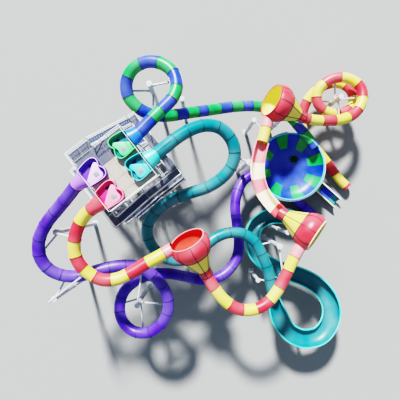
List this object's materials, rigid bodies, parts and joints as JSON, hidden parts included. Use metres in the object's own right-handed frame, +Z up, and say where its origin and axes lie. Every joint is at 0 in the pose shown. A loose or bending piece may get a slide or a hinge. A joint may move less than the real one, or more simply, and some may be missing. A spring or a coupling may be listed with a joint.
{
  "type": "scale model of a water slide tower",
  "caption": "Braced tower with a start deck, winding stairs and body slides: closed tubes, an open flume, funnels, a round bowl and a coil, on steel columns.",
  "frame": {"origin": "centre of the footprint's bounding box, on the level the feet stand on", "axes": "+Z up, +X along the longer side of the footprint towards the slide exits, +Y to the left of that"},
  "size_m": [21.7488, 19.9694, 10.3979],
  "materials": {
    "purple_fibreglass": "gloss",
    "turquoise_fibreglass": "gloss",
    "blue_fibreglass": "gloss",
    "green_fibreglass": "gloss",
    "red_fibreglass": "gloss",
    "yellow_fibreglass": "gloss",
    "painted_steel": "satin",
    "deck_panels": "matt",
    "stair_steel": "matt"
  },
  "bodies": {
    "root": {"blue_tube_1": "blue_fibreglass", "blue_tube_2": "green_fibreglass", "bowl": "blue_fibreglass", "bowl_chute": "green_fibreglass", "bowl_stand": "painted_steel", "column_1": "painted_steel", "column_10": "painted_steel", "column_2": "painted_steel", "column_3": "painted_steel", "column_4": "painted_steel", "column_5": "painted_steel", "column_6": "painted_steel", "column_7": "painted_steel", "column_8": "painted_steel", "column_9": "painted_steel", "deck": "deck_panels", "deck_rail_back": "painted_steel", "deck_rail_low": "painted_steel", "deck_rail_side": "painted_steel", "frame_left": "painted_steel", "frame_middle": "painted_steel", "frame_right": "painted_steel", "funnel_1": "yellow_fibreglass", "funnel_2": "yellow_fibreglass", "funnel_3": "yellow_fibreglass", "funnel_column_1": "painted_steel", "funnel_column_2": "painted_steel", "funnel_column_3": "painted_steel", "green_tub": "green_fibreglass", "post_1": "painted_steel", "post_2": "painted_steel", "post_3": "painted_steel", "post_4": "painted_steel", "post_5": "painted_steel", "post_6": "painted_steel", "post_7": "painted_steel", "post_8": "painted_steel", "post_9": "painted_steel", "purple_tub": "purple_fibreglass", "purple_tube_1": "purple_fibreglass", "purple_tube_2": "purple_fibreglass", "purple_tube_3": "purple_fibreglass", "red_coil_1": "red_fibreglass", "red_coil_2": "yellow_fibreglass", "red_flume": "yellow_fibreglass", "red_tub": "red_fibreglass", "red_tube_1": "red_fibreglass", "red_tube_2": "red_fibreglass", "red_tube_3": "red_fibreglass", "stair_1": "stair_steel", "stair_2": "stair_steel", "stair_3": "stair_steel", "stair_4": "stair_steel", "stair_5": "stair_steel", "stair_6": "stair_steel", "turquoise_flume_1": "turquoise_fibreglass", "turquoise_flume_2": "turquoise_fibreglass", "turquoise_tub": "turquoise_fibreglass", "turquoise_tube_1": "turquoise_fibreglass", "turquoise_tube_2": "turquoise_fibreglass"}
  },
  "joints": []
}
